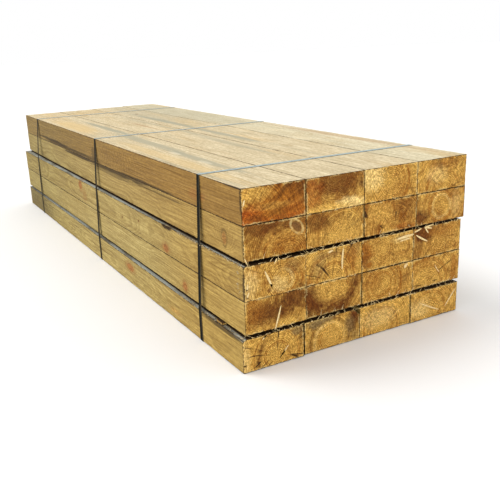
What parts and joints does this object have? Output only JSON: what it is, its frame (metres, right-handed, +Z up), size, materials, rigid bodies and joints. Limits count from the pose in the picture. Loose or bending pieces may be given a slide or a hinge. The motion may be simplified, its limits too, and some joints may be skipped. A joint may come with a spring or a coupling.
{
  "type": "stack of lumber",
  "caption": "Strapped pack of rough-sawn timber sleepers, stacked in tight courses with thin spacer laths between some of them and flat steel straps right round.",
  "frame": {"origin": "middle of the pack's outline in plan, at the level of the floor", "axes": "+X along the sleepers, towards the end with the stepped sawn ends; -Y is the side where the middle and bottom courses stand out; +Z up"},
  "size_m": [2.655, 0.8336, 0.5188],
  "materials": {
    "sawn_wood": "matte",
    "spacer_wood": "matte",
    "strap_steel": "satin",
    "seal_steel": "satin"
  },
  "bodies": {
    "root": {"sleeper_course1_column1": "sawn_wood", "sleeper_course1_column2": "sawn_wood", "sleeper_course1_column3": "sawn_wood", "sleeper_course1_column4": "sawn_wood", "sleeper_course2_column1": "sawn_wood", "sleeper_course2_column2": "sawn_wood", "sleeper_course2_column3": "sawn_wood", "sleeper_course2_column4": "sawn_wood", "sleeper_course3_column1": "sawn_wood", "sleeper_course3_column2": "sawn_wood", "sleeper_course3_column3": "sawn_wood", "sleeper_course3_column4": "sawn_wood", "sleeper_course4_column1": "sawn_wood", "sleeper_course4_column2": "sawn_wood", "sleeper_course4_column3": "sawn_wood", "sleeper_course4_column4": "sawn_wood", "sleeper_course5_column1": "sawn_wood", "sleeper_course5_column2": "sawn_wood", "sleeper_course5_column3": "sawn_wood", "sleeper_course5_column4": "sawn_wood", "spacer_upper_near": "spacer_wood", "spacer_upper_middle": "spacer_wood", "spacer_upper_far": "spacer_wood", "spacer_lower_near": "spacer_wood", "spacer_lower_middle": "spacer_wood", "spacer_lower_far": "spacer_wood", "strap_near": "strap_steel", "strap_middle": "strap_steel", "strap_far": "strap_steel", "seal_near": "seal_steel", "seal_middle": "seal_steel", "seal_far": "seal_steel"}
  },
  "joints": []
}
